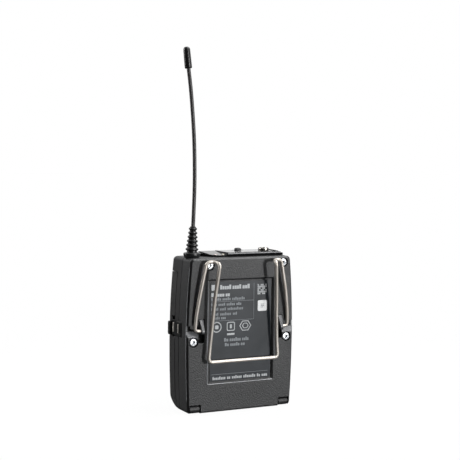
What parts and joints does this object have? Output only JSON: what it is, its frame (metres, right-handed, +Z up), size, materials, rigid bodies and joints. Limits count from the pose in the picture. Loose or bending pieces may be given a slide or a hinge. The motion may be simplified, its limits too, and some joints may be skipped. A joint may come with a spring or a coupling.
{
  "type": "wireless lavalier microphone bodypack transmitter",
  "caption": "Flat belt-worn radio transmitter pack with a bent-wire belt clip, ribbed-boot whip antenna, threaded miniature mic jack, slide mute switch and hinged battery door.",
  "frame": {"origin": "middle of the flat bottom, on the face the pack stands on", "axes": "+Z up along the height to the antenna tip, -Y out of the rear face with the belt clip, +Y out of the battery door, +X to the right seen from the rear"},
  "size_m": [0.064, 0.0321, 0.1874],
  "materials": {
    "shell_paint": "fine-grained grey paint on the rear shell, satin",
    "frame_plastic": "dark grey moulded frame, fine spark grain",
    "door_paint": "fine-grained dark grey paint on the battery door, satin",
    "black_plastic": "black moulded plastic, fine grain",
    "rubber": "black elastomer, semi-gloss",
    "spring_wire": "nickel-plated spring wire, drawn lengthwise",
    "nickel": "bright nickel plate",
    "screw_steel": "bright zinc-plated steel",
    "label_print": null,
    "brass": "machined",
    "circuit_board": "green solder mask",
    "shield_tin": "tinned sheet",
    "clear_lens": "smoked clear window",
    "lcd_panel": "display module, unlit amber",
    "led_red": "tinted translucent light pipe",
    "led_yellow": "tinted translucent light pipe",
    "cell_wrap": "plain printed sleeve, no marks",
    "key_rubber": "grey moulded key caps"
  },
  "bodies": {
    "housing": {"rear_shell": "shell_paint", "front_frame": "frame_plastic", "top_panel": "black_plastic", "label_plate": "label_print", "clip_lug_left": "black_plastic", "clip_lug_right": "black_plastic", "rear_screw_upper_left": "screw_steel", "rear_screw_upper_right": "screw_steel", "rear_screw_lower_left": "screw_steel", "rear_screw_lower_right": "screw_steel", "charge_contact_block": "black_plastic", "charge_contact_rear": "nickel", "charge_contact_front": "nickel", "antenna_rod": "rubber", "antenna_tip_cap": "rubber", "antenna_boot": "rubber", "antenna_collar": "rubber", "antenna_base_insert": "brass", "main_circuit_board": "circuit_board", "rf_shield_can": "shield_tin", "control_circuit_board": "circuit_board", "display_module": "lcd_panel", "display_lens": "clear_lens", "jack_sleeve": "nickel", "jack_insulator": "black_plastic", "mute_switch_body": "black_plastic", "led_red": "led_red", "led_yellow": "led_yellow", "tact_switch_power": "shield_tin", "tact_switch_up": "shield_tin", "tact_switch_down": "shield_tin", "tact_switch_set": "shield_tin", "aa_cell_left": "cell_wrap", "aa_cell_right": "cell_wrap", "battery_bridge_contact": "nickel", "battery_spring_bottom": "nickel", "battery_contact_positive": "nickel", "battery_contact_negative": "nickel", "battery_spring_top": "nickel"},
    "clip": {"belt_clip": "spring_wire"},
    "mute": {"mute_slider": "black_plastic"},
    "power_key": {"key_power": "key_rubber"},
    "up_key": {"key_up": "key_rubber"},
    "down_key": {"key_down": "key_rubber"},
    "set_key": {"key_set": "key_rubber"},
    "door": {"battery_door": "door_paint", "hinge_pin_left": "screw_steel", "hinge_pin_right": "screw_steel"},
    "left_catch": {"catch_left": "black_plastic"},
    "right_catch": {"catch_right": "black_plastic"}
  },
  "joints": [
    {"name": "battery_door_hinge", "type": "hinge", "parent": "housing", "child": "door", "pos_m": [0, -0.0097, 0.00215], "axis": [-1, 0, 0], "range_deg": [0, 105]},
    {"name": "left_catch_slide", "type": "slide", "parent": "door", "child": "left_catch", "axis": [1, 0, 0], "range_m": [0, 0.0012], "stiffness_N_per_m": 200},
    {"name": "right_catch_slide", "type": "slide", "parent": "door", "child": "right_catch", "axis": [-1, 0, 0], "range_m": [0, 0.0012], "stiffness_N_per_m": 200},
    {"name": "belt_clip_pivot", "type": "hinge", "parent": "housing", "child": "clip", "pos_m": [0, -0.01285, 0.043], "axis": [1, 0, 0], "range_deg": [-2.4, 6], "stiffness_Nm_per_rad": 0.05},
    {"name": "mute_slide", "type": "slide", "parent": "housing", "child": "mute", "axis": [1, 0, 0], "range_m": [-0.0028, 0]},
    {"name": "power_key_press", "type": "slide", "parent": "housing", "child": "power_key", "axis": [0, -1, 0], "range_m": [0, 0.0005], "stiffness_N_per_m": 300},
    {"name": "up_key_press", "type": "slide", "parent": "housing", "child": "up_key", "axis": [0, -1, 0], "range_m": [0, 0.0005], "stiffness_N_per_m": 300},
    {"name": "down_key_press", "type": "slide", "parent": "housing", "child": "down_key", "axis": [0, -1, 0], "range_m": [0, 0.0005], "stiffness_N_per_m": 300},
    {"name": "set_key_press", "type": "slide", "parent": "housing", "child": "set_key", "axis": [0, -1, 0], "range_m": [0, 0.0005], "stiffness_N_per_m": 300}
  ]
}
